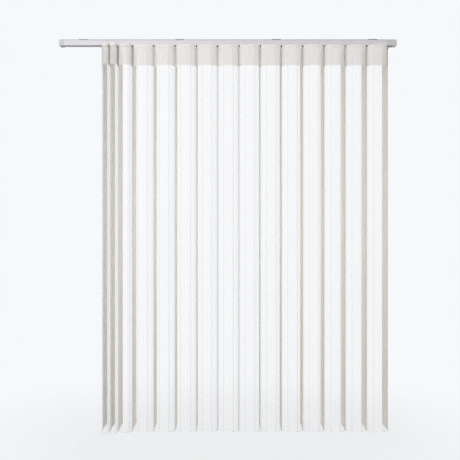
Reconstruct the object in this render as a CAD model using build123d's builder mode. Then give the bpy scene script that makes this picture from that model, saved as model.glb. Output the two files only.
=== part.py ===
from build123d import *
import math
import os

# Vertical blind with a sheer facing, hung by clips that grip the crown of its head rail. Millimetres.
# X runs along the rail, +Y from the facing to the vanes' back edges, and +Z up. The origin lies on
# the clips' top faces, at the middle of the rail and above the row of tilt axes.

# Whole blind
blind_width = 1678
blind_height = 1951
vane_count = 16
stack_pitch = 40
part_drawn_pitch = 70
bunched_bays = 2
fixed_carrier_inset = 42
free_carrier_inset = 46
running_play = 0.05
flat_play = 0.3
cut_overrun = 1

# Head rail, an extruded channel with a slot below and a crown above
ceiling_gap = 5
rail_depth = 34
rail_height = 26
rail_wall = 1.5
rail_corner = 1.2
rail_slot = 12
crown_span = 26
crown_web_span = 18
crown_wall = 1

# Ceiling clips, folded from steel strip
clip_length = 44
clip_span = 30
clip_wall = 1
clip_hook_play = 0.1
clip_crown_play = 0.4
clip_screw_radius = 2.5
clip_end_inset = 119

# End caps, moulded sleeves over the rail's ends
cap_left_length = 21
cap_right_length = 48
cap_wall = 1.4
cap_end_wall = 3
cap_play = 0.1
cap_corner = 1.2
cap_slot_length = 30
cap_slot_width = 18
bush_radius = 5
bush_length = 8

# Tilt rod, splined, beside the stems
rod_radius = 3
rod_offset_y = 7.5
rod_drop = 17.5
rod_groove_radius = 0.7
rod_groove_count = 3
rod_end_play = 0.5

# Carriers, moulded housings with glide shoes, a neck and a tongue for the facing
carrier_gap = 0.6
carrier_width = 24
carrier_corner = 2.5
housing_drop = 27
shoe_flare = 2
shoe_inner_span = 14
neck_radius = 5.2
neck_reach = 1.6
tongue_width = 6
tongue_wall = 1.6
tongue_length = 18
tongue_rail_play = 0.4

# Spacer strips in four lanes on top of the carriers
lane_count = 4
lane_pitch = 6.2
strip_width = 5
strip_wall = 0.6
strip_leg = 1.7
strip_roof_play = 0.5
strip_carrier_play = 2.2
anchor_x = 14
anchor_length = 6
anchor_height = 1.8
lug_x = 8
lug_length = 1.2
lug_height = 1.5

# Hangers, a turning stem with an arm that clamps the vane's top edge
stem_radius = 3
stem_top_drop = 15
collar_radius = 4
collar_height = 1.2
hub_radius = 3.2
arm_tip_radius = 1.4
arm_reach = 112
arm_height = 10
arm_slot_depth = 7

# Vanes, opaque woven cloth with a folded hem
vane_width = 115
vane_thickness = 0.7
vane_slot_play = 0.1
vane_floor_gap = 4
hem_height = 32
hem_thickness = 1.8

# Sheer facing, one cloth folded to a wave with a doubled header
header_gap = 2
header_height = 103
header_thickness = 1.6
sheer_thickness = 0.8
bay_slack = 23
valley_reach = 8
valley_radius = 4
shoulder_radius = 22
crest_turn_share = 0.31

# Heights and places that several pieces share
rail_top = -ceiling_gap
rail_bottom = rail_top - rail_height
rail_length = blind_width - 2 * cap_end_wall
lip_top = rail_bottom + rail_wall
rail_roof = rail_top - rail_wall
strip_top = rail_roof - strip_roof_play
carrier_top = strip_top - strip_wall - strip_carrier_play
carrier_length = stack_pitch - carrier_gap
neck_bottom = rail_bottom - neck_reach
collar_top = neck_bottom - flat_play
arm_top = collar_top - collar_height
vane_top = arm_top - arm_height + arm_slot_depth - vane_slot_play
facing_top = rail_bottom - header_gap
rod_axis = (rod_offset_y, -rod_drop)

drawn_span = blind_width - fixed_carrier_inset - free_carrier_inset
full_pitch = drawn_span / (vane_count - 1)
bay_cloth = full_pitch + bay_slack
full_bays = vane_count - 2 - bunched_bays
bay_pitches = [stack_pitch] * bunched_bays + [part_drawn_pitch] + [full_pitch] * full_bays
fixed_carrier_x = blind_width / 2 - fixed_carrier_inset
carrier_xs = [fixed_carrier_x - sum(bay_pitches[bay:]) for bay in range(vane_count)]


def make_headrail():
    """Channel with two lips below for the carriers and two hooked webs above for the clips."""
    rail_middle = (rail_top + rail_bottom) / 2
    flange_top = -clip_wall - clip_crown_play
    web_height = flange_top - rail_top
    flange_width = (crown_span - crown_web_span) / 2 + crown_wall
    with BuildPart() as headrail:
        with BuildSketch(Plane.YZ):
            with Locations((0, rail_middle)):
                RectangleRounded(rail_depth, rail_height, rail_corner)
                Rectangle(rail_depth - 2 * rail_wall, rail_height - 2 * rail_wall, mode=Mode.SUBTRACT)
            with Locations((0, rail_bottom)):
                Rectangle(rail_slot, 2 * rail_wall, mode=Mode.SUBTRACT)
            for side in (-1, 1):
                with Locations((side * (crown_web_span - crown_wall) / 2, rail_top)):
                    Rectangle(crown_wall, web_height, align=(Align.CENTER, Align.MIN))
                with Locations((side * (crown_span - flange_width) / 2, flange_top)):
                    Rectangle(flange_width, crown_wall, align=(Align.CENTER, Align.MAX))
        extrude(amount=rail_length / 2, both=True)
    return headrail.part


def make_clips():
    """Four clips with a screw hole; their hooks reach under the flanges of the rail's crown."""
    hook_top = -clip_wall - clip_crown_play - crown_wall - clip_hook_play
    hook_bottom = hook_top - clip_wall
    hook_reach = (clip_span - crown_web_span) / 2 - clip_wall / 2
    outer_spacing = blind_width - 2 * clip_end_inset
    inner_spacing = outer_spacing / 3
    clip_xs = [side * spacing / 2 for spacing in (outer_spacing, inner_spacing) for side in (-1, 1)]
    with BuildPart() as clips:
        for clip_x in clip_xs:
            with BuildSketch(Plane.YZ.offset(clip_x)):
                Rectangle(clip_span, clip_wall, align=(Align.CENTER, Align.MAX))
                for side in (-1, 1):
                    with Locations((side * (clip_span - clip_wall) / 2, 0)):
                        Rectangle(clip_wall, -hook_bottom, align=(Align.CENTER, Align.MAX))
                    with Locations((side * (clip_span - hook_reach) / 2, hook_top)):
                        Rectangle(hook_reach, clip_wall, align=(Align.CENTER, Align.MAX))
            extrude(amount=clip_length / 2, both=True)
        with Locations([(clip_x, 0, 0) for clip_x in clip_xs]):
            Hole(clip_screw_radius, depth=clip_wall)
    return clips.part


def make_end_cap(side, cap_length):
    """Sleeve with an end wall and the tilt rod's bush; open above for the crown and below for the stems."""
    wall_and_play = cap_wall + cap_play
    sleeve_depth = rail_depth + 2 * wall_and_play
    sleeve_height = rail_height + 2 * wall_and_play
    sleeve_middle = (rail_top + rail_bottom) / 2
    crown_opening = crown_span + 2 * cap_wall
    rail_end = rail_length / 2
    end_plane = Plane.YZ.offset(side * blind_width / 2)
    with BuildPart() as cap:
        with BuildSketch(end_plane):
            with Locations((0, sleeve_middle)):
                RectangleRounded(sleeve_depth, sleeve_height, cap_corner)
        extrude(amount=-side * cap_length)
        with BuildSketch(Plane.YZ.offset(side * rail_end)):
            with Locations((0, sleeve_middle)):
                Rectangle(rail_depth + 2 * cap_play, rail_height + 2 * cap_play)
        extrude(amount=-side * cap_length, mode=Mode.SUBTRACT)
        with BuildSketch(Plane.YZ.offset(side * rail_end)):
            with Locations((0, rail_top)):
                Rectangle(crown_opening, 2 * wall_and_play)
        extrude(amount=-side * cap_length, mode=Mode.SUBTRACT)
        slot_start = blind_width / 2 - cap_length - cut_overrun
        slot_end = min(slot_start + cap_slot_length + cut_overrun, rail_end)
        with BuildSketch(Plane.YZ.offset(side * slot_start)):
            with Locations((0, rail_bottom)):
                Rectangle(cap_slot_width, 2 * wall_and_play)
        extrude(amount=side * (slot_end - slot_start), mode=Mode.SUBTRACT)
        with BuildSketch(Plane.YZ.offset(side * rail_end)):
            with Locations(rod_axis):
                Circle(bush_radius)
        extrude(amount=-side * bush_length)
        with BuildSketch(Plane.YZ.offset(side * rail_end)):
            with Locations(rod_axis):
                Circle(rod_radius + running_play)
        extrude(amount=-side * bush_length, mode=Mode.SUBTRACT)
    return cap.part


def make_tilt_rod():
    """Round rod with shallow grooves along it, held by the bushes of both end caps."""
    with BuildPart() as rod:
        with BuildSketch(Plane.YZ):
            with Locations(rod_axis):
                Circle(rod_radius)
                with PolarLocations(rod_radius, rod_groove_count):
                    Circle(rod_groove_radius, mode=Mode.SUBTRACT)
        extrude(amount=rail_length / 2 - rod_end_play, both=True)
    return rod.part


def lane_y(lane):
    """Middle of one of the lanes that the spacer strips run in."""
    return (lane % lane_count - (lane_count - 1) / 2) * lane_pitch


def make_carrier(index):
    """Housing on two glide shoes, with a neck through the slot; its spacer strip is a second solid."""
    x = carrier_xs[index]
    shoe_span = rail_depth - 2 * rail_wall - 2 * flat_play
    shoe_bottom = lip_top + flat_play
    housing_bottom = -housing_drop
    tongue_back = -valley_reach + flat_play + tongue_wall
    tongue_top = rail_bottom - tongue_rail_play
    stem_bore_length = -neck_bottom - stem_top_drop + flat_play
    strip_bottom = strip_top - strip_wall
    with BuildPart() as carrier:
        with BuildSketch(Plane.YZ.offset(x)):
            with BuildLine():
                Polyline(
                    (0, carrier_top),
                    (carrier_width / 2, carrier_top),
                    (carrier_width / 2, housing_bottom + shoe_flare),
                    (shoe_span / 2, housing_bottom),
                    (shoe_span / 2, shoe_bottom),
                    (shoe_inner_span / 2, shoe_bottom),
                    (shoe_inner_span / 2, housing_bottom),
                    (0, housing_bottom),
                )
                mirror(about=Plane.YZ)
            make_face()
        extrude(amount=carrier_length / 2, both=True)
        corners = carrier.edges().filter_by(Axis.Z).group_by(Axis.Z)[-1]
        fillet(corners, carrier_corner)
        with BuildSketch(Plane.XY.offset(housing_bottom)):
            with Locations((x, 0)):
                Circle(neck_radius)
        extrude(amount=neck_bottom - housing_bottom)
        with BuildSketch(Plane.XY.offset(neck_bottom)):
            with Locations((x, 0)):
                Rectangle(tongue_width, valley_reach - flat_play, align=(Align.CENTER, Align.MAX))
        extrude(amount=tongue_top - neck_bottom)
        with BuildSketch(Plane.XY.offset(tongue_top)):
            with Locations((x, tongue_back)):
                Rectangle(tongue_width, tongue_wall, align=(Align.CENTER, Align.MAX))
        extrude(amount=-tongue_length)
        with BuildSketch(Plane.XY.offset(carrier_top)):
            with Locations((x + anchor_x, lane_y(index))):
                Rectangle(anchor_length, strip_width)
                Rectangle(strip_wall + 2 * flat_play, strip_width, mode=Mode.SUBTRACT)
        extrude(amount=anchor_height)
        with BuildSketch(Plane.XY.offset(carrier_top)):
            with Locations((x + lug_x, lane_y(index + 1))):
                Rectangle(lug_length, strip_width, align=(Align.MIN, Align.CENTER))
        extrude(amount=lug_height)
        with BuildSketch(Plane.XY.offset(neck_bottom)):
            with Locations((x, 0)):
                Circle(stem_radius + running_play)
        extrude(amount=stem_bore_length, mode=Mode.SUBTRACT)
        with BuildSketch(Plane.YZ.offset(x)):
            with Locations(rod_axis):
                Circle(rod_radius + running_play)
        extrude(amount=carrier_length / 2 + cut_overrun, both=True, mode=Mode.SUBTRACT)
        if index > 0:
            hook_x = x - full_pitch + lug_x - flat_play - strip_wall
            strip_end_x = x + anchor_x + strip_wall / 2
            with BuildSketch(Plane.XZ.offset(strip_width / 2 - lane_y(index))):
                with Locations((hook_x, strip_top)):
                    Rectangle(strip_end_x - hook_x, strip_wall, align=(Align.MIN, Align.MAX))
                for leg_x in (hook_x, strip_end_x - strip_wall):
                    with Locations((leg_x, strip_bottom)):
                        Rectangle(strip_wall, strip_leg, align=(Align.MIN, Align.MAX))
            extrude(amount=-strip_width)
    return carrier.part


def make_hanger(index):
    """Stem and collar under the carrier's neck, with a tapered arm slotted for the vane's top edge."""
    x = carrier_xs[index]
    arm_bottom = arm_top - arm_height
    slot_width = vane_thickness + 2 * vane_slot_play
    with BuildPart() as hanger:
        with BuildSketch(Plane.XY.offset(arm_top)):
            with Locations((x, 0)):
                Circle(hub_radius)
            with Locations((x, arm_reach)):
                Circle(arm_tip_radius)
            make_hull()
        extrude(amount=-arm_height)
        with BuildSketch(Plane.XY.offset(arm_top)):
            with Locations((x, 0)):
                Circle(collar_radius)
        extrude(amount=collar_height)
        with BuildSketch(Plane.XY.offset(collar_top)):
            with Locations((x, 0)):
                Circle(stem_radius)
        extrude(amount=-collar_top - stem_top_drop)
        with BuildSketch(Plane.XY.offset(arm_bottom)):
            with Locations((x, 0)):
                Rectangle(slot_width, arm_reach + 2 * hub_radius, align=(Align.CENTER, Align.MIN))
        extrude(amount=arm_slot_depth, mode=Mode.SUBTRACT)
    return hanger.part


def make_vane(index):
    """Flat cloth strip, edge-on to the room, with a rounded hem along its bottom edge."""
    x = carrier_xs[index]
    hem_middle = -blind_height + vane_floor_gap + hem_height / 2
    with BuildPart() as vane:
        with BuildSketch(Plane.XZ):
            with Locations((x, vane_top)):
                Rectangle(vane_thickness, vane_top - hem_middle, align=(Align.CENTER, Align.MAX))
            with Locations((x, hem_middle)):
                SlotOverall(hem_height, hem_thickness, rotation=90)
        extrude(amount=-vane_width)
    return vane.part


def half_bay(pitch, turn):
    """Cloth in half a bay whose ends turn this far, its crest's half turn, its shoulder and crest radii."""
    crest_turn = turn * crest_turn_share
    shoulder = min(shoulder_radius, pitch / 2 - valley_radius)
    shoulder_span = shoulder * (math.sin(turn) - math.sin(crest_turn))
    crest = (pitch / 2 - valley_radius * math.sin(turn) - shoulder_span) / math.sin(crest_turn)
    cloth = valley_radius * turn + shoulder * (turn - crest_turn) + crest * crest_turn
    return cloth, crest_turn, shoulder, crest


def bay_fold(pitch):
    """Turn at a bay's ends that takes up its cloth, and the straight wall left past a right angle."""
    turn = math.pi / 2
    wall = bay_cloth / 2 - half_bay(pitch, turn)[0]
    if wall >= 0:
        return turn, wall
    low_turn, high_turn = 0.0, turn
    for _ in range(60):
        turn = (low_turn + high_turn) / 2
        if half_bay(pitch, turn)[0] < bay_cloth / 2:
            low_turn = turn
        else:
            high_turn = turn
    return turn, 0


def facing_edge(ply):
    """Wave of the facing seen from above, at a distance in front of its back face; returns both ends."""
    start = Vector(carrier_xs[0], -valley_reach - ply)
    point, heading = start, Vector(1, 0)
    for pitch in bay_pitches:
        turn, wall = bay_fold(pitch)
        _, crest_turn, shoulder, crest = half_bay(pitch, turn)
        folds = [
            (valley_radius - ply, -turn, wall),
            (shoulder + ply, turn - crest_turn, 0),
            (crest + ply, 2 * crest_turn, 0),
            (shoulder + ply, turn - crest_turn, wall),
            (valley_radius - ply, -turn, 0),
        ]
        for radius, arc_turn, straight in folds:
            arc = JernArc(point, heading, radius, math.degrees(arc_turn))
            point, heading = arc @ 1, arc % 1
            if straight > 0:
                side = Line(point, point + heading * straight)
                point = side @ 1
    return start, point


def make_facing():
    """Sheer cloth in one wave from the first vane to the last, with a doubled header along its top."""
    header_bottom = facing_top - header_height
    with BuildPart() as facing:
        for top, bottom, ply in (
            (facing_top, header_bottom, header_thickness),
            (header_bottom, -blind_height, sheer_thickness),
        ):
            with BuildSketch(Plane.XY.offset(bottom)):
                with BuildLine():
                    back_start, back_end = facing_edge(0)
                    front_start, front_end = facing_edge(ply)
                    Line(back_start, front_start)
                    Line(back_end, front_end)
                make_face()
            extrude(amount=top - bottom)
    return facing.part


def save(part, name):
    """Label a finished piece and write it under its own name."""
    part.label = name
    export_step(part, f"parts/{name}.step")


os.makedirs("parts", exist_ok=True)
save(make_headrail(), "headrail")
save(make_clips(), "ceiling_clips")
save(make_end_cap(-1, cap_left_length), "end_cap_left")
save(make_end_cap(1, cap_right_length), "end_cap_right")
save(make_tilt_rod(), "tilt_rod")
for number in range(vane_count):
    save(make_carrier(number), f"carrier_{number + 1:02d}")
    save(make_hanger(number), f"hanger_{number + 1:02d}")
    save(make_vane(number), f"vane_{number + 1:02d}")
save(make_facing(), "sheer_facing")
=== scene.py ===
import math

import bpy
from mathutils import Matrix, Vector


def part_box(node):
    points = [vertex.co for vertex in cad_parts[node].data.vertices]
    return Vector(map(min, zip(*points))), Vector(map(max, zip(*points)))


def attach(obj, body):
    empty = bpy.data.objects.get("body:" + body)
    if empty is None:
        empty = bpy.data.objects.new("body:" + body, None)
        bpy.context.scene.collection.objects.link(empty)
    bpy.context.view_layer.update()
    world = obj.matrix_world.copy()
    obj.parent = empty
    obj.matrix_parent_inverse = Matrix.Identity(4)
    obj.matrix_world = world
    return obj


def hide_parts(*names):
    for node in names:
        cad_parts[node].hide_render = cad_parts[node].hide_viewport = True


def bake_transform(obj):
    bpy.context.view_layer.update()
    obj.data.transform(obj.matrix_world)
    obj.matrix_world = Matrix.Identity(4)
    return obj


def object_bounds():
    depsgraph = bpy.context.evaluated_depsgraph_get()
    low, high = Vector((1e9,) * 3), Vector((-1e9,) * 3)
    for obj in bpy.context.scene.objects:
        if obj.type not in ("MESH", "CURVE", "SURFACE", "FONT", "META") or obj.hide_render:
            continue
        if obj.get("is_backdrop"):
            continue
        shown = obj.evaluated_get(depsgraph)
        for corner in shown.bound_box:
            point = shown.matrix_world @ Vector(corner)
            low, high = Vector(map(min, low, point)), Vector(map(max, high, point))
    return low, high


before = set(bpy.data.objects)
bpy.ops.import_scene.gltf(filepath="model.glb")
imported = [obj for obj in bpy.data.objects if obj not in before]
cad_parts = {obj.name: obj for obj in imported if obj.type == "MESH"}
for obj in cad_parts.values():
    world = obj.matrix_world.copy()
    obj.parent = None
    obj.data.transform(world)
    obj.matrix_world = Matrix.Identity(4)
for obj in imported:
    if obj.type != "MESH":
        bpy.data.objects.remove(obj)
cad_low, cad_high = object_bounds()


# View of the blind
# The camera stands square to the blind, a little under the middle of its height and 3.27 m in front
# of its row of vanes. The lens is slid up a little, so upright edges stay upright.
camera_place = (0.010, -3.270, -1.035)
camera_lens = 51.2
camera_film_width = 36
camera_shift_up = 0.037
camera_nearest, camera_farthest = 0.05, 60

bpy.ops.object.select_all(action="DESELECT")
bpy.ops.object.camera_add(location=camera_place, rotation=(math.pi / 2, 0, 0))
camera = bpy.context.object
camera.name = "blind_camera"
camera.data.lens = camera_lens
camera.data.sensor_width = camera_film_width
camera.data.shift_y = camera_shift_up
camera.data.clip_start = camera_nearest
camera.data.clip_end = camera_farthest
bpy.context.scene.camera = camera
bpy.context.scene.view_settings.view_transform = "Standard"


# Studio round the blind
# A pale floor lies just under the cloth, and the air behind is as white as the floor. A large soft
# lamp stands at the front left, a weaker one at the front right, two more shine from behind through
# the cloth, and the rest is even sky light.
studio_white = (246, 248, 250)
sky_tint = (252, 253, 255)
sky_strength = 0.46
floor_white = (208, 208, 209)
floor_roughness = 0.9
floor_gap = 0.006
floor_width = 26
floor_bright_share = 0.78
floor_fade_start, floor_fade_end = 0.5, 1.7
key_place, key_width, key_power = (-1.4, -3.7, 0.3), 1.8, 84
fill_place, fill_width, fill_power = (2.4, -3.3, -0.6), 2.0, 9
back_places, back_width, back_power = ((-0.25, 2.9, -0.75), (0.45, 2.9, -0.75)), 1.4, 32
lamp_target = Vector((0, 0, -0.95))


def tint(red, green, blue):
    """A colour as a paint chart gives it, from 0 to 255, turned into the scene's own light values."""
    shares = [value / 255 for value in (red, green, blue)]
    return [s / 12.92 if s <= 0.04045 else ((s + 0.055) / 1.055) ** 2.4 for s in shares] + [1.0]


def add_node(tree, kind, inputs=(), **settings):
    """Adds one shader node with its settings, and gives each of its inputs a value or a link."""
    node = tree.nodes.new(kind)
    for name, value in settings.items():
        setattr(node, name, value)
    for socket, value in dict(inputs).items():
        if isinstance(value, bpy.types.NodeSocket):
            tree.links.new(value, node.inputs[socket])
        else:
            node.inputs[socket].default_value = value
    return node


def worked(tree, operation, *values):
    """Works out one step of sums with its values and returns the result."""
    return add_node(tree, "ShaderNodeMath", dict(enumerate(values)), operation=operation).outputs[0]


def ranged(tree, value, start, end, low=0.0, high=1.0, curve="LINEAR"):
    """Runs from low to high while a value goes from start to end, and stays level outside them."""
    span = {"Value": value, "From Min": start, "From Max": end, "To Min": low, "To Max": high}
    return add_node(tree, "ShaderNodeMapRange", span, interpolation_type=curve).outputs[0]


def seen_share(tree):
    """One for what the eye, a gloss or a glass looks at, and nought for the light that falls on things."""
    ray = add_node(tree, "ShaderNodeLightPath").outputs
    looked_at = worked(tree, "MAXIMUM", ray["Is Camera Ray"], ray["Is Glossy Ray"])
    return worked(tree, "MAXIMUM", looked_at, ray["Is Transmission Ray"])


def add_lamp(name, place, width, power):
    """Hangs a square soft lamp that faces the middle of the blind."""
    facing = (lamp_target - Vector(place)).to_track_quat("-Z", "Y").to_euler()
    bpy.ops.object.light_add(type="AREA", location=place, rotation=facing)
    lamp = bpy.context.object
    lamp.name = name
    lamp.data.size = width
    lamp.data.energy = power


add_lamp("key_lamp", key_place, key_width, key_power)
add_lamp("fill_lamp", fill_place, fill_width, fill_power)
for back_place in back_places:
    add_lamp("back_lamp", back_place, back_width, back_power)

sky = bpy.data.worlds.new("studio_sky")
sky.use_nodes = True
bpy.context.scene.world = sky
tree = sky.node_tree
tree.nodes.clear()
light = add_node(tree, "ShaderNodeBackground", {"Color": tint(*sky_tint), "Strength": sky_strength})
backdrop = add_node(tree, "ShaderNodeBackground", {"Color": tint(*studio_white), "Strength": 1.0})
seen = seen_share(tree)
air = add_node(tree, "ShaderNodeMixShader", {0: seen, 1: light.outputs[0], 2: backdrop.outputs[0]})
add_node(tree, "ShaderNodeOutputWorld", {"Surface": air.outputs[0]})

bpy.ops.mesh.primitive_plane_add(size=floor_width, location=(0, 0, cad_low.z - floor_gap))
floor = bpy.context.object
floor.name = "studio_floor"
floor_paint = bpy.data.materials.new("studio_floor_paint")
floor_paint.use_nodes = True
tree = floor_paint.node_tree
shader = tree.nodes["Principled BSDF"]
shader.inputs["Base Color"].default_value = tint(*floor_white)
shader.inputs["Roughness"].default_value = floor_roughness
place = add_node(tree, "ShaderNodeTexCoord").outputs["Object"]
from_middle = add_node(tree, "ShaderNodeVectorMath", {0: place}, operation="LENGTH").outputs["Value"]
fade = ranged(tree, from_middle, floor_fade_start, floor_fade_end, floor_bright_share, 1.0, "SMOOTHSTEP")
bright = worked(tree, "MULTIPLY", seen_share(tree), fade)
glow = add_node(tree, "ShaderNodeEmission", {"Color": tint(*studio_white), "Strength": 1.0})
surface = add_node(tree, "ShaderNodeMixShader", {0: bright, 1: shader.outputs[0], 2: glow.outputs[0]})
tree.links.new(surface.outputs[0], tree.nodes["Material Output"].inputs["Surface"])
floor.data.materials.append(floor_paint)
floor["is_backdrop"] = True


# Ceiling clips
# Four clips of springy zinc-plated strip, pressed to a flat channel with two hooks that snap under
# the flanges on the rail's crown. A screw through the middle of each holds it to the ceiling.
zinc_colour = (150, 152, 154)
zinc_dull_colour = (126, 128, 131)
zinc_tones = (0.2, 0.8)
zinc_fineness, zinc_roughness, zinc_relief = 900.0, 0.62, 0.00006
spangle_fineness = 260.0
spangle_weight, strip_line_weight = 0.6, 0.6
line_stretch = (0.02, 1, 1)
line_detail, line_weight = 3.0, 0.7
cloud_fineness, cloud_detail, cloud_weight = 38.0, 2.0, 0.3
line_roughness_swing = 0.3


def noise(tree, place, fineness, detail, dimensions="3D"):
    """A soft uneven pattern, as a share."""
    values = {"Vector": place, "Scale": fineness, "Detail": detail}
    return add_node(tree, "ShaderNodeTexNoise", values, noise_dimensions=dimensions).outputs[0]


def weighed(tree, *parts, onto=0.0):
    """Adds several values, each times its own weight, onto a value."""
    for value, weight in parts:
        onto = worked(tree, "MULTIPLY_ADD", value, weight, onto)
    return onto


def swung(tree, roughness, share, swing):
    """A roughness that rises and falls with a share, from the share's middle."""
    return weighed(tree, (worked(tree, "SUBTRACT", share, 0.5), swing), onto=roughness)


def start_group(name, inputs, outputs):
    """Opens a group of shader nodes with its named sockets, and returns it with what it is given."""
    group = bpy.data.node_groups.new(name, "ShaderNodeTree")
    for socket, kind in inputs.items():
        group.interface.new_socket(socket, in_out="INPUT", socket_type=f"NodeSocket{kind}")
    for socket in outputs:
        group.interface.new_socket(socket, in_out="OUTPUT", socket_type="NodeSocketFloat")
    return group, add_node(group, "NodeGroupInput").outputs


def drawn_lines_group():
    """Fine lines that a die or a roll leaves along a metal piece, as a share, a roughness and a height."""
    inputs = {"Vector": "Vector", "Fineness": "Float", "Roughness": "Float"}
    group, given = start_group("drawn_lines", inputs, ("Share", "Roughness", "Height"))
    stretched = add_node(group, "ShaderNodeMapping", {"Vector": given["Vector"], "Scale": line_stretch})
    lines = noise(group, stretched.outputs[0], given["Fineness"], line_detail)
    cloud = noise(group, given["Vector"], cloud_fineness, cloud_detail)
    share = weighed(group, (lines, line_weight), (cloud, cloud_weight))
    rough = swung(group, given["Roughness"], share, line_roughness_swing)
    add_node(group, "NodeGroupOutput", {"Share": share, "Roughness": rough, "Height": lines})
    return group


drawn_lines = drawn_lines_group()


def place_group(tree, group, **inputs):
    """Puts a group into a material with this material's own values, and returns what it puts out."""
    values = {name.title(): value for name, value in inputs.items()}
    return add_node(tree, "ShaderNodeGroup", values, node_tree=group).outputs


def start_material(name, **values):
    """Opens a material with one surface shader, and sets the values that are the same all over it."""
    material = bpy.data.materials.new(name)
    material.use_nodes = True
    shader = material.node_tree.nodes["Principled BSDF"]
    for socket, value in values.items():
        shader.inputs[socket.replace("_", " ").title()].default_value = value
    return material, material.node_tree, shader


def mixed(tree, share, first, second):
    """Goes from one colour to another as a share goes from nought to one."""
    # The node has sockets of the same name for numbers and colours, so these are taken by their places.
    return add_node(tree, "ShaderNodeMix", {0: share, 6: first, 7: second}, data_type="RGBA").outputs[2]


def toned(tree, share, tones, low_colour, high_colour):
    """Goes from one paint-chart colour to another as a share runs between two tones."""
    return mixed(tree, ranged(tree, share, *tones), tint(*low_colour), tint(*high_colour))


def finish_surface(tree, shader, colour, height, relief, roughness=None):
    """Feeds a colour, a small relief and, where it varies, a roughness into a surface shader."""
    tree.links.new(colour, shader.inputs["Base Color"])
    bump = add_node(tree, "ShaderNodeBump", {"Height": height, "Distance": relief, "Strength": 1.0})
    tree.links.new(bump.outputs[0], shader.inputs["Normal"])
    if roughness is not None:
        tree.links.new(roughness, shader.inputs["Roughness"])


def dress_nodes(names, material):
    """Gives solid pieces of the blind their finish."""
    for name in names:
        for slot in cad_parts[name].material_slots:
            slot.material = material


zinc, tree, shader = start_material("zinc_plated_strip", metallic=1.0)
place = add_node(tree, "ShaderNodeTexCoord").outputs["Object"]
lines = place_group(tree, drawn_lines, vector=place, fineness=zinc_fineness, roughness=zinc_roughness)
spangle = add_node(tree, "ShaderNodeTexVoronoi", {"Vector": place, "Scale": spangle_fineness}).outputs
mottle = weighed(tree, (spangle["Distance"], spangle_weight), (lines["Share"], strip_line_weight))
colour = toned(tree, mottle, zinc_tones, zinc_dull_colour, zinc_colour)
finish_surface(tree, shader, colour, lines["Height"], zinc_relief, lines["Roughness"])
dress_nodes(["ceiling_clips"], zinc)


# Head rail
# A slim aluminium channel, extruded, cut to length and powder painted in a cool pale grey. Two lips
# beside the slot below carry the gliders, and the two webs on the crown snap into the clips.
rail_colour = (211, 209, 211)
rail_shade_colour = (202, 200, 202)
rail_tones = (0.3, 0.62)
rail_fineness, rail_roughness, rail_relief = 420.0, 0.44, 0.00008
rail_coat, rail_coat_roughness = 0.12, 0.35
peel_fineness, peel_detail, peel_weight = 950.0, 1.0, 0.6

rail_paint, tree, shader = start_material("rail_powder_paint", coat_weight=rail_coat,
                                          coat_roughness=rail_coat_roughness)
place = add_node(tree, "ShaderNodeTexCoord").outputs["Object"]
lines = place_group(tree, drawn_lines, vector=place, fineness=rail_fineness, roughness=rail_roughness)
peel = noise(tree, place, peel_fineness, peel_detail)
colour = toned(tree, lines["Share"], rail_tones, rail_shade_colour, rail_colour)
height = weighed(tree, (peel, peel_weight), onto=lines["Height"])
finish_surface(tree, shader, colour, height, rail_relief, lines["Roughness"])
dress_nodes(["headrail"], rail_paint)


# End caps
# Two moulded sleeves in the rail's colour, a short one at the free end and a long one at the fixed
# end. Each is pushed over the rail's end and holds the tilt rod in a bush.
cap_colour = (200, 198, 200)
cap_shade_colour = (191, 189, 191)
cap_fineness, cap_roughness, cap_relief = 1500.0, 0.5, 0.00007
grain_detail, grain_weight, grain_roughness_swing = 4.0, 0.35, 0.25
flow_fineness, flow_detail, flow_weight = 55.0, 2.0, 0.65
moulding_tones = (0.35, 0.65)


def moulded_grain_group():
    """The fine grain that a spark-worn mould leaves on plastic, as a share, a roughness and a height."""
    inputs = {"Vector": "Vector", "Fineness": "Float", "Roughness": "Float"}
    group, given = start_group("moulded_grain", inputs, ("Share", "Roughness", "Height"))
    grain = noise(group, given["Vector"], given["Fineness"], grain_detail)
    flow = noise(group, given["Vector"], flow_fineness, flow_detail)
    share = weighed(group, (grain, grain_weight), (flow, flow_weight))
    rough = swung(group, given["Roughness"], grain, grain_roughness_swing)
    add_node(group, "NodeGroupOutput", {"Share": share, "Roughness": rough, "Height": grain})
    return group


moulded_grain = moulded_grain_group()


def moulded_plastic(name, low_colour, high_colour, fineness, roughness, relief):
    """A plain moulded plastic with its own two tones, grain and gloss."""
    material, tree, shader = start_material(name)
    place = add_node(tree, "ShaderNodeTexCoord").outputs["Object"]
    grain = place_group(tree, moulded_grain, vector=place, fineness=fineness, roughness=roughness)
    colour = toned(tree, grain["Share"], moulding_tones, low_colour, high_colour)
    finish_surface(tree, shader, colour, grain["Height"], relief, grain["Roughness"])
    return material


cap_plastic = moulded_plastic("cap_moulding", cap_shade_colour, cap_colour,
                              cap_fineness, cap_roughness, cap_relief)
dress_nodes(["end_cap_left", "end_cap_right"], cap_plastic)


# Tilt rod
# A slim drawn aluminium rod with three grooves, left bare. It runs the length of the rail through
# every glider and turns all the vanes together.
rod_colour = (196, 197, 199)
rod_shade_colour = (172, 173, 176)
rod_tones = (0.3, 0.7)
rod_fineness, rod_roughness, rod_relief = 1600.0, 0.3, 0.00004

rod_metal, tree, shader = start_material("drawn_rod", metallic=1.0)
place = add_node(tree, "ShaderNodeTexCoord").outputs["Object"]
lines = place_group(tree, drawn_lines, vector=place, fineness=rod_fineness, roughness=rod_roughness)
colour = toned(tree, lines["Share"], rod_tones, rod_shade_colour, rod_colour)
finish_surface(tree, shader, colour, lines["Height"], rod_relief, lines["Roughness"])
dress_nodes(["tilt_rod"], rod_metal)


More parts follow.
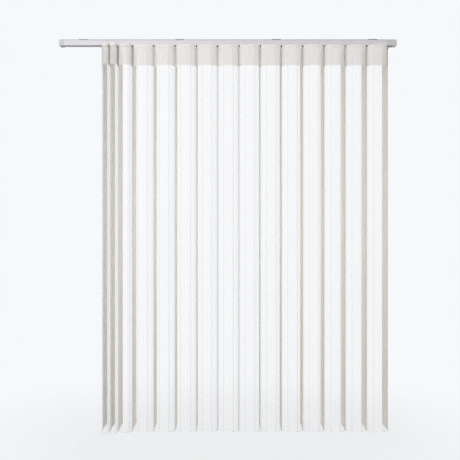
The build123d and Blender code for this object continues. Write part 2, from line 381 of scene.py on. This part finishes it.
# Gliders and hangers
# Sixteen grey moulded gliders run on the rail's lips, each with a spacer strip that draws its
# neighbour along. Under each one turns a white hanger whose slotted arm clamps a vane's top edge.
glider_colour = (92, 92, 94)
glider_shade_colour = (82, 82, 84)
glider_fineness, glider_roughness, glider_relief = 1100.0, 0.58, 0.00005
hanger_colour = (224, 225, 223)
hanger_shade_colour = (213, 215, 213)
hanger_fineness, hanger_roughness, hanger_relief = 700.0, 0.62, 0.00003
vane_count = 16
vane_numbers = [f"{number:02d}" for number in range(1, vane_count + 1)]

glider_plastic = moulded_plastic("glider_moulding", glider_shade_colour, glider_colour,
                                 glider_fineness, glider_roughness, glider_relief)
hanger_plastic = moulded_plastic("hanger_moulding", hanger_shade_colour, hanger_colour,
                                 hanger_fineness, hanger_roughness, hanger_relief)
dress_nodes([f"carrier_{number}" for number in vane_numbers], glider_plastic)
dress_nodes([f"hanger_{number}" for number in vane_numbers], hanger_plastic)


# Vanes
# Sixteen strips of close beige cloth, edge-on to the room. Each is cut hot so that it can't fray, its
# top edge is clamped in the hanger's slot, and its bottom is turned up round a flat weight and sewn.
vane_colour = (221, 215, 197)
vane_shade_colour = (211, 205, 187)
vane_tones = (0.35, 0.6)
vane_roughness, vane_relief = 0.82, 0.00018
vane_sheen, vane_sheen_roughness = 0.15, 0.5
cloth_thickness = 0.0006
hem_height = 0.032
hem_half_depth = 0.0005
hem_slope_height = 0.0015
hem_steps = 6
sharp_edge_angle = math.radians(40)
bottom_row_margin = 0.0001
vane_rows, vane_columns = 36, 6
threads_per_metre = 1700.0
slub_stretch, slub_fineness, slub_detail = 0.012, 0.8, 2.0
slub_weight, crossing_weight = 0.75, 0.25
stitch_drop, stitch_half_height, stitch_length = 0.002, 0.0004, 0.004
stitch_gap_level = -0.4
stitch_dimple, stitch_shade = -1.5, -0.12


def woven_threads_group():
    """Two crossing sets of threads, some thicker than others, as a share and a height."""
    inputs = {"Across": "Float", "Along": "Float", "Threads": "Float"}
    group, given = start_group("woven_threads", inputs, ("Share", "Height"))
    across = worked(group, "MULTIPLY", given["Across"], given["Threads"])
    along = worked(group, "MULTIPLY", given["Along"], given["Threads"])
    warp = worked(group, "SINE", worked(group, "MULTIPLY", across, math.pi))
    weft = worked(group, "SINE", worked(group, "MULTIPLY", along, math.pi))
    crossing = ranged(group, worked(group, "MULTIPLY", warp, weft), -1.0, 1.0)
    flat = add_node(group, "ShaderNodeCombineXYZ", {0: across, 1: along}).outputs[0]
    slubs = []
    for stretch in ((1.0, slub_stretch, 1.0), (slub_stretch, 1.0, 1.0)):
        stretched = add_node(group, "ShaderNodeMapping", {"Vector": flat, "Scale": stretch}).outputs[0]
        slubs.append(noise(group, stretched, slub_fineness, slub_detail, "2D"))
    slub = weighed(group, (slubs[0], 0.5), (slubs[1], 0.5))
    share = weighed(group, (slub, slub_weight), (crossing, crossing_weight))
    add_node(group, "NodeGroupOutput", {"Share": share, "Height": worked(group, "ADD", crossing, slub)})
    return group


woven_threads = woven_threads_group()

vane_low, vane_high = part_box("vane_01")
vane_x = (vane_low.x + vane_high.x) / 2
hem_top = vane_low.z + hem_height
bpy.ops.object.select_all(action="DESELECT")
bpy.ops.mesh.primitive_grid_add(x_subdivisions=vane_rows, y_subdivisions=vane_columns, size=1,
                                rotation=(0, math.pi / 2, 0))
vane = bpy.context.object
vane.name = "vane_cloth_01"
vane.scale = (vane_high.z - hem_top, vane_high.y - vane_low.y, 1)
vane.location = (vane_x, (vane_low.y + vane_high.y) / 2, (vane_high.z + hem_top) / 2)
bpy.ops.object.transform_apply(location=True, rotation=True, scale=True)

bpy.ops.object.mode_set(mode="EDIT")
bpy.ops.mesh.select_all(action="DESELECT")
bpy.ops.object.mode_set(mode="OBJECT")
for vertex in vane.data.vertices:
    vertex.select = vertex.co.z < hem_top + bottom_row_margin
bpy.ops.object.mode_set(mode="EDIT")
bpy.context.tool_settings.mesh_select_mode = (True, False, False)
hem_wall = hem_height - hem_slope_height - hem_half_depth - cloth_thickness / 2
hem_route = [(-hem_half_depth, -hem_slope_height), (0, -hem_wall)]
hem_turns = [math.pi * step / hem_steps for step in range(hem_steps + 1)]
for before, after in zip(hem_turns, hem_turns[1:]):
    hem_route.append((hem_half_depth * (math.cos(before) - math.cos(after)),
                      hem_half_depth * (math.sin(before) - math.sin(after))))
hem_route.append((0, hem_wall))
for across, up in hem_route:
    bpy.ops.mesh.extrude_edges_move(TRANSFORM_OT_translate={"value": (across, 0, up)})
bpy.ops.object.mode_set(mode="OBJECT")
bpy.ops.object.modifier_add(type="SOLIDIFY")
vane.modifiers["Solidify"].thickness = cloth_thickness
vane.modifiers["Solidify"].offset = 0
bpy.ops.object.modifier_apply(modifier="Solidify")
bpy.ops.object.mode_set(mode="EDIT")
bpy.ops.mesh.select_all(action="SELECT")
bpy.ops.mesh.normals_make_consistent(inside=False)
bpy.ops.object.mode_set(mode="OBJECT")
bpy.ops.object.shade_smooth_by_angle(angle=sharp_edge_angle)

vane_cloth, tree, shader = start_material("vane_close_weave", roughness=vane_roughness,
                                          sheen_weight=vane_sheen, sheen_roughness=vane_sheen_roughness)
place = add_node(tree, "ShaderNodeTexCoord").outputs["Object"]
axes = add_node(tree, "ShaderNodeSeparateXYZ", {0: place}).outputs
weave = place_group(tree, woven_threads, across=axes["Y"], along=axes["Z"], threads=threads_per_metre)
from_seam = worked(tree, "ABSOLUTE", worked(tree, "SUBTRACT", axes["Z"], hem_top - stitch_drop))
stitch_row = worked(tree, "LESS_THAN", from_seam, stitch_half_height)
stitch_turn = worked(tree, "SINE", worked(tree, "MULTIPLY", axes["Y"], 2 * math.pi / stitch_length))
stitch_run = worked(tree, "GREATER_THAN", stitch_turn, stitch_gap_level)
stitch = worked(tree, "MULTIPLY", stitch_row, stitch_run)
shade = weighed(tree, (stitch, stitch_shade), onto=weave["Share"])
colour = toned(tree, shade, vane_tones, vane_shade_colour, vane_colour)
height = weighed(tree, (stitch, stitch_dimple), onto=weave["Height"])
finish_surface(tree, shader, colour, height, vane_relief)
vane.data.materials.append(vane_cloth)

vanes = [vane]
for number in vane_numbers[1:]:
    low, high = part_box(f"vane_{number}")
    bpy.ops.object.select_all(action="DESELECT")
    vane.select_set(True)
    bpy.context.view_layer.objects.active = vane
    bpy.ops.object.duplicate(linked=False)
    next_vane = bpy.context.object
    next_vane.name = f"vane_cloth_{number}"
    bpy.ops.transform.translate(value=((low.x + high.x) / 2 - vane_x, 0, 0))
    bpy.ops.object.transform_apply(location=True, rotation=False, scale=False)
    vanes.append(next_vane)
for number, strip in zip(vane_numbers, vanes):
    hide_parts(f"vane_{number}")
    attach(strip, f"vane_{number}")


# Sheer facing
# One wide sheer cloth makes a soft wave from each vane to the next, held at its top by the gliders'
# tongues. The top is turned over to a doubled header that dips at each tongue, a closer band runs
# down every valley in front of a vane, and two pressed creases run down every wave. The header, the
# creases and the valley bands are coloured darker than the sheer: painted shade, and in the valleys
# also a seam where the cloth meets the vane.
sheer_colour = (251, 251, 252)
sheer_shade_colour = (244, 244, 245)
# Painted shade: the header's darker, warmer white is the same cloth as the sheer, shaded for want of light
# from behind.
header_shade_colour = (235, 231, 227)
# Painted shade: the creases' grey stands for the shade along each pressed crease; the closer cover there is
# the pressed cloth.
crease_shade_colour = (226, 226, 227)
# Painted shade: the valley band's darker beige stands for the shade in each valley, over a seam where the
# cloth meets the vane.
valley_seam_shade_colour = (208, 203, 193)
sheer_tones = (0.3, 0.55)
sheer_roughness, sheer_sheen, sheer_relief = 0.75, 0.1, 0.0001
bay_cloth = 0.129
valley_radius = 0.004
shoulder_radius = 0.022
crest_turn_share = 0.31
header_height = 0.103
header_ply_gap = 0.0010
sheer_offset = 0.0004
top_dip, top_dip_reach = 0.0058, 0.021
crease_share, crease_width_share, crease_sharpness_share = 0.45, 0.25, 0.5
bay_columns, steps_per_column = 64, 8
header_rows, header_crowding = 8, 2
drape_rows, drape_crowding, ply_end_rows = 30, 1.3, 3
fold_search_rounds = 60
streak_stretches = ((420.0, 0.05), (120.0, 0.02))
streak_detail = 2.0
streak_range = (0.36, 0.64)
thin_cover, thick_cover = 0.2, 0.34
crease_places, crease_half_width, crease_cover = (0.315, 0.685), 0.02, 0.2
valley_places, valley_half_width, valley_cover = (0.0, 1.0), 0.027, 0.4
line_soft_start, line_soft_end = 0.6, 1.4
header_cover, header_edge_softness = 0.3, 0.0005
fold_cover, fold_reach_start, fold_reach_end = 0.5, 0.007, 0.014
bottom_edge_height, bottom_edge_cover = 0.003, 0.4

facing_low, facing_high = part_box("sheer_facing")
vane_xs = [sum(corner.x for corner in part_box(f"vane_{number}")) / 2 for number in vane_numbers]


def half_bay(pitch, turn):
    """Cloth in half a bay whose ends turn this far, its crest's half turn, its shoulder and crest radii."""
    crest_turn = turn * crest_turn_share
    shoulder = min(shoulder_radius, pitch / 2 - valley_radius)
    shoulder_span = shoulder * (math.sin(turn) - math.sin(crest_turn))
    crest = (pitch / 2 - valley_radius * math.sin(turn) - shoulder_span) / math.sin(crest_turn)
    cloth = valley_radius * turn + shoulder * (turn - crest_turn) + crest * crest_turn
    return cloth, crest_turn, shoulder, crest


def bay_fold(pitch):
    """Turn at a bay's ends that takes up its cloth, and the straight wall left past a right angle."""
    turn = math.pi / 2
    wall = bay_cloth / 2 - half_bay(pitch, turn)[0]
    if wall >= 0:
        return turn, wall
    low_turn, high_turn = 0.0, turn
    for _ in range(fold_search_rounds):
        turn = (low_turn + high_turn) / 2
        if half_bay(pitch, turn)[0] < bay_cloth / 2:
            low_turn = turn
        else:
            high_turn = turn
    return turn, 0.0


def eased(share):
    """A smooth step from 0 to 1."""
    share = min(max(share, 0.0), 1.0)
    return share * share * (3 - 2 * share)


def bay_heading(length, pitch):
    """Which way the cloth runs, seen from above, at this length of cloth from the bay's left end."""
    if length > bay_cloth / 2:
        return -bay_heading(bay_cloth - length, pitch)
    turn, wall = bay_fold(pitch)
    _, crest_turn, shoulder, crest = half_bay(pitch, turn)
    valley = valley_radius * turn
    if length < valley:
        return -turn * length / valley
    bend = shoulder * (turn - crest_turn)
    length -= valley + wall
    if length < bend:
        return -turn + max(length, 0) / shoulder
    share = (length - bend) / (crest * crest_turn)
    pressed = eased((share - crease_share) / crease_width_share + 0.5)
    return -crest_turn * (1 - share + (share - pressed) * crease_sharpness_share)


def bay_wave(pitch):
    """Places along one bay of cloth, seen from above, with the way that the cloth runs at each."""
    steps = steps_per_column * bay_columns
    step = bay_cloth / steps
    x, y, wave = 0.0, 0.0, []
    for index in range(steps + 1):
        if index % steps_per_column == 0:
            wave.append((x, y, bay_heading(index * step, pitch)))
        middle = bay_heading((index + 0.5) * step, pitch)
        x += math.cos(middle) * step
        y += math.sin(middle) * step
    stretch = pitch / wave[-1][0]
    tilt = wave[-1][1] / wave[-1][0]
    return [(x * stretch, y - x * tilt, heading) for x, y, heading in wave]


def facing_rows():
    """Heights and ply offsets of the cloth's rows, from the turned-over end round the top and down."""
    top, bottom = facing_high.z, facing_low.z
    header_bottom = top - header_height
    drape = header_bottom - bottom
    back = sheer_offset
    front = back + header_ply_gap
    drops = [header_height * (row / header_rows) ** header_crowding for row in range(1, header_rows + 1)]
    rows = [(top - drop, back) for drop in reversed(drops)]
    rows += [(top - header_ply_gap / 2, back), (top, (back + front) / 2), (top - header_ply_gap / 2, front)]
    rows += [(top - drop, front) for drop in drops]
    for row in range(1, drape_rows + 1):
        drop = drape * (row / drape_rows) ** drape_crowding
        rows.append((header_bottom - drop, back + header_ply_gap * (1 - eased(row / ply_end_rows))))
    return rows


sheer, tree, shader = start_material("sheer_voile", roughness=sheer_roughness, sheen_weight=sheer_sheen)
cloth = add_node(tree, "ShaderNodeUVMap", uv_map="cloth").outputs[0]
axes = add_node(tree, "ShaderNodeSeparateXYZ", {0: cloth}).outputs
streaks = []
for across, along in streak_stretches:
    stretched = add_node(tree, "ShaderNodeMapping", {"Vector": cloth, "Scale": (across, along, 1.0)})
    streaks.append(noise(tree, stretched.outputs[0], 1.0, streak_detail, "2D"))
streak = weighed(tree, (streaks[0], 0.5), (streaks[1], 0.5))
bay_share = worked(tree, "FRACT", worked(tree, "DIVIDE", axes["X"], bay_cloth))


def lines_down(places, half_width):
    """One on the lines that run down every bay at these shares of its cloth, and nought beside them."""
    total = 0.0
    for place in places:
        distance = worked(tree, "ABSOLUTE", worked(tree, "SUBTRACT", bay_share, place))
        line = ranged(tree, distance, half_width * line_soft_start, half_width * line_soft_end, 1.0, 0.0)
        total = worked(tree, "ADD", line, total)
    return total


crease_press_and_shade = lines_down(crease_places, crease_half_width)
valley_seam_and_shade = lines_down(valley_places, valley_half_width)
from_fold = worked(tree, "ABSOLUTE", worked(tree, "SUBTRACT", axes["Y"], header_height))
header = ranged(tree, from_fold, header_height - header_edge_softness,
                header_height + header_edge_softness, 1.0, 0.0)
fold_edge = ranged(tree, from_fold, fold_reach_start, fold_reach_end, 1.0, 0.0)
cloth_end = header_height + facing_high.z - facing_low.z
bottom_edge = worked(tree, "GREATER_THAN", axes["Y"], cloth_end - bottom_edge_height)
cover = weighed(tree, (crease_press_and_shade, crease_cover), (valley_seam_and_shade, valley_cover), (header, header_cover),
                (fold_edge, fold_cover), (bottom_edge, bottom_edge_cover),
                onto=ranged(tree, streak, *streak_range, thin_cover, thick_cover))
tree.links.new(cover, shader.inputs["Alpha"])
colour = toned(tree, streak, sheer_tones, sheer_shade_colour, sheer_colour)
# The creases, the header and the valley bands take their darker colours here: painted shade over the sheer's
# streaked tone.
for share, painted_shade_colour in ((crease_press_and_shade, crease_shade_colour), (header, header_shade_colour),
                          (valley_seam_and_shade, valley_seam_shade_colour)):
    colour = mixed(tree, share, colour, tint(*painted_shade_colour))
finish_surface(tree, shader, colour, streaks[0], sheer_relief)

rows = facing_rows()
last_row = len(rows) - 1
cloth_lengths = [0.0]
for (before, ply_before), (after, ply_after) in zip(rows, rows[1:]):
    cloth_lengths.append(cloth_lengths[-1] + math.hypot(after - before, ply_after - ply_before))
for bay, (left, right) in enumerate(zip(vane_xs, vane_xs[1:])):
    wave = bay_wave(right - left)
    bpy.ops.object.select_all(action="DESELECT")
    bpy.ops.mesh.primitive_grid_add(x_subdivisions=bay_columns, y_subdivisions=last_row, size=1)
    cloth_bay = bpy.context.object
    cloth_bay.name = f"sheer_bay_{bay + 1:02d}"
    for vertex in cloth_bay.data.vertices:
        column = round((vertex.co.x + 0.5) * bay_columns)
        x, y, heading = wave[column]
        height, ply = rows[round((vertex.co.y + 0.5) * last_row)]
        from_vane = min(column, bay_columns - column) / bay_columns * bay_cloth
        raised = max(height - facing_high.z + header_height, 0) / header_height
        height -= top_dip * eased(1 - from_vane / top_dip_reach) * raised
        vertex.co = (left + x + ply * math.sin(heading), facing_high.y + y - ply * math.cos(heading), height)
    sheet_uv = cloth_bay.data.uv_layers[0]
    sheet_uv.name = "cloth"
    for corner in sheet_uv.data:
        across, along = corner.uv
        corner.uv = ((bay + across) * bay_cloth, cloth_lengths[round(along * last_row)])
    bpy.ops.object.shade_smooth()
    cloth_bay.data.materials.append(sheer)
    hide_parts("sheer_facing")
    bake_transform(cloth_bay)


# Size of the dressed blind
# The box of the bare solids and the box of the finished blind are kept side by side.
low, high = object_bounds()
